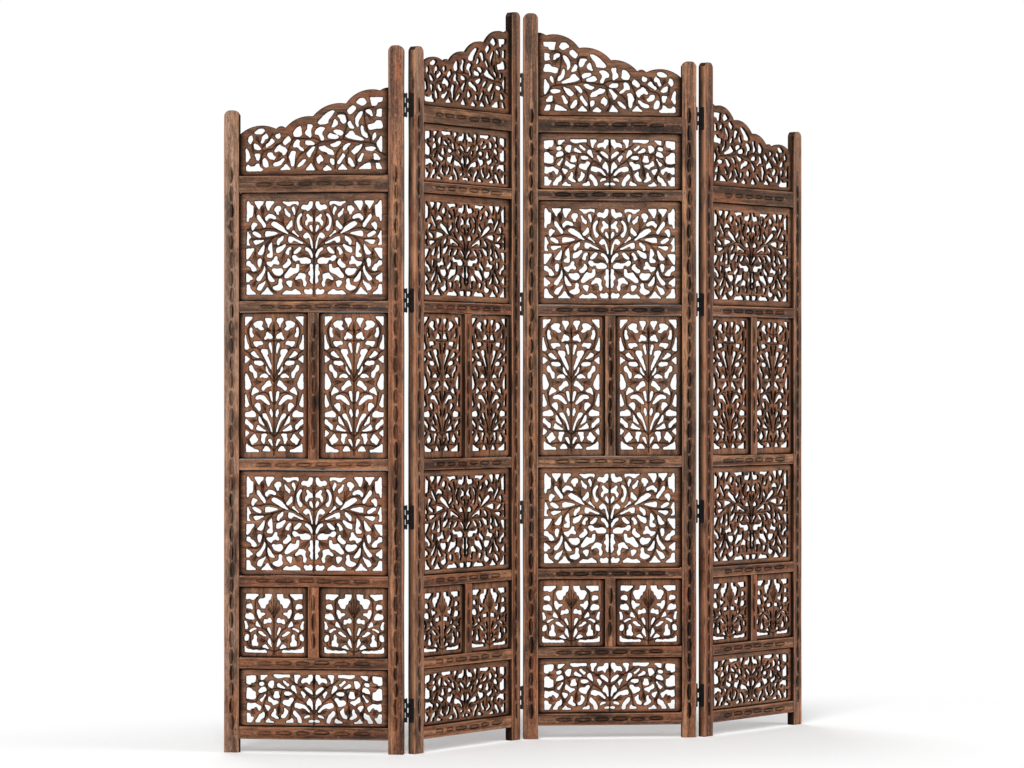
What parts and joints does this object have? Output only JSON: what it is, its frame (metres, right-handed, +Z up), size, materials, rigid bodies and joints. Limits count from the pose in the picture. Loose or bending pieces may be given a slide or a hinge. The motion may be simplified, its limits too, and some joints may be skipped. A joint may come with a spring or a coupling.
{
  "type": "folding screen",
  "caption": "Free-standing folding screen of hinged wooden leaves, each a frame of stiles and rails holding pierced and carved jali panels under a scalloped, sloping crest.",
  "frame": {"origin": "on the floor, at the middle of the ground that the standing screen covers", "axes": "+Z up, -Y towards the viewer in front, +X to the viewer's right along the row of leaves"},
  "size_m": [1.4728, 0.2422, 1.65],
  "materials": {
    "frame_wood": "oiled hardwood, burnt and rubbed back, satin",
    "carved_wood": "hand-carved hardwood, dark in its grooves, satin",
    "hinge_iron": "black lacquered iron",
    "pin_iron": "dark iron, worn at the ends"
  },
  "bodies": {
    "leaf_1": {"fold_1_left_plates": "hinge_iron", "fold_1_pins": "pin_iron", "leaf_1_bottom_fret": "carved_wood", "leaf_1_bottom_rail": "frame_wood", "leaf_1_crest_fret": "carved_wood", "leaf_1_crest_rail": "frame_wood", "leaf_1_cross_rails": "frame_wood", "leaf_1_left_stile": "frame_wood", "leaf_1_lower_tree_fret": "carved_wood", "leaf_1_muntins": "frame_wood", "leaf_1_right_stile": "frame_wood", "leaf_1_square_frets": "carved_wood", "leaf_1_tall_frets": "carved_wood", "leaf_1_upper_tree_fret": "carved_wood"},
    "leaf_2": {"fold_1_right_plates": "hinge_iron", "fold_2_left_plates": "hinge_iron", "fold_2_pins": "pin_iron", "leaf_2_bottom_fret": "carved_wood", "leaf_2_bottom_rail": "frame_wood", "leaf_2_crest_fret": "carved_wood", "leaf_2_crest_rail": "frame_wood", "leaf_2_cross_rails": "frame_wood", "leaf_2_left_stile": "frame_wood", "leaf_2_lower_tree_fret": "carved_wood", "leaf_2_muntins": "frame_wood", "leaf_2_right_stile": "frame_wood", "leaf_2_square_frets": "carved_wood", "leaf_2_tall_frets": "carved_wood", "leaf_2_top_fret": "carved_wood", "leaf_2_upper_tree_fret": "carved_wood"},
    "leaf_3": {"fold_2_right_plates": "hinge_iron", "fold_3_left_plates": "hinge_iron", "fold_3_pins": "pin_iron", "leaf_3_bottom_fret": "carved_wood", "leaf_3_bottom_rail": "frame_wood", "leaf_3_crest_fret": "carved_wood", "leaf_3_crest_rail": "frame_wood", "leaf_3_cross_rails": "frame_wood", "leaf_3_left_stile": "frame_wood", "leaf_3_lower_tree_fret": "carved_wood", "leaf_3_muntins": "frame_wood", "leaf_3_right_stile": "frame_wood", "leaf_3_square_frets": "carved_wood", "leaf_3_tall_frets": "carved_wood", "leaf_3_top_fret": "carved_wood", "leaf_3_upper_tree_fret": "carved_wood"},
    "leaf_4": {"fold_3_right_plates": "hinge_iron", "leaf_4_bottom_fret": "carved_wood", "leaf_4_bottom_rail": "frame_wood", "leaf_4_crest_fret": "carved_wood", "leaf_4_crest_rail": "frame_wood", "leaf_4_cross_rails": "frame_wood", "leaf_4_left_stile": "frame_wood", "leaf_4_lower_tree_fret": "carved_wood", "leaf_4_muntins": "frame_wood", "leaf_4_right_stile": "frame_wood", "leaf_4_square_frets": "carved_wood", "leaf_4_tall_frets": "carved_wood", "leaf_4_upper_tree_fret": "carved_wood"}
  },
  "joints": [
    {"name": "fold_1", "type": "hinge", "parent": "leaf_2", "child": "leaf_1", "pos_m": [-0.39111, -0.1052, 0.5], "axis": [0, 0, -1], "range_deg": [-61.9, 118.1]},
    {"name": "fold_2", "type": "hinge", "parent": "leaf_2", "child": "leaf_3", "pos_m": [-0.02388, 0.06788, 0.5], "axis": [0, 0, -1], "range_deg": [-48, 132]},
    {"name": "fold_3", "type": "hinge", "parent": "leaf_3", "child": "leaf_4", "pos_m": [0.36469, -0.0497, 0.5], "axis": [0, 0, 1], "range_deg": [-45.1, 134.9]}
  ]
}
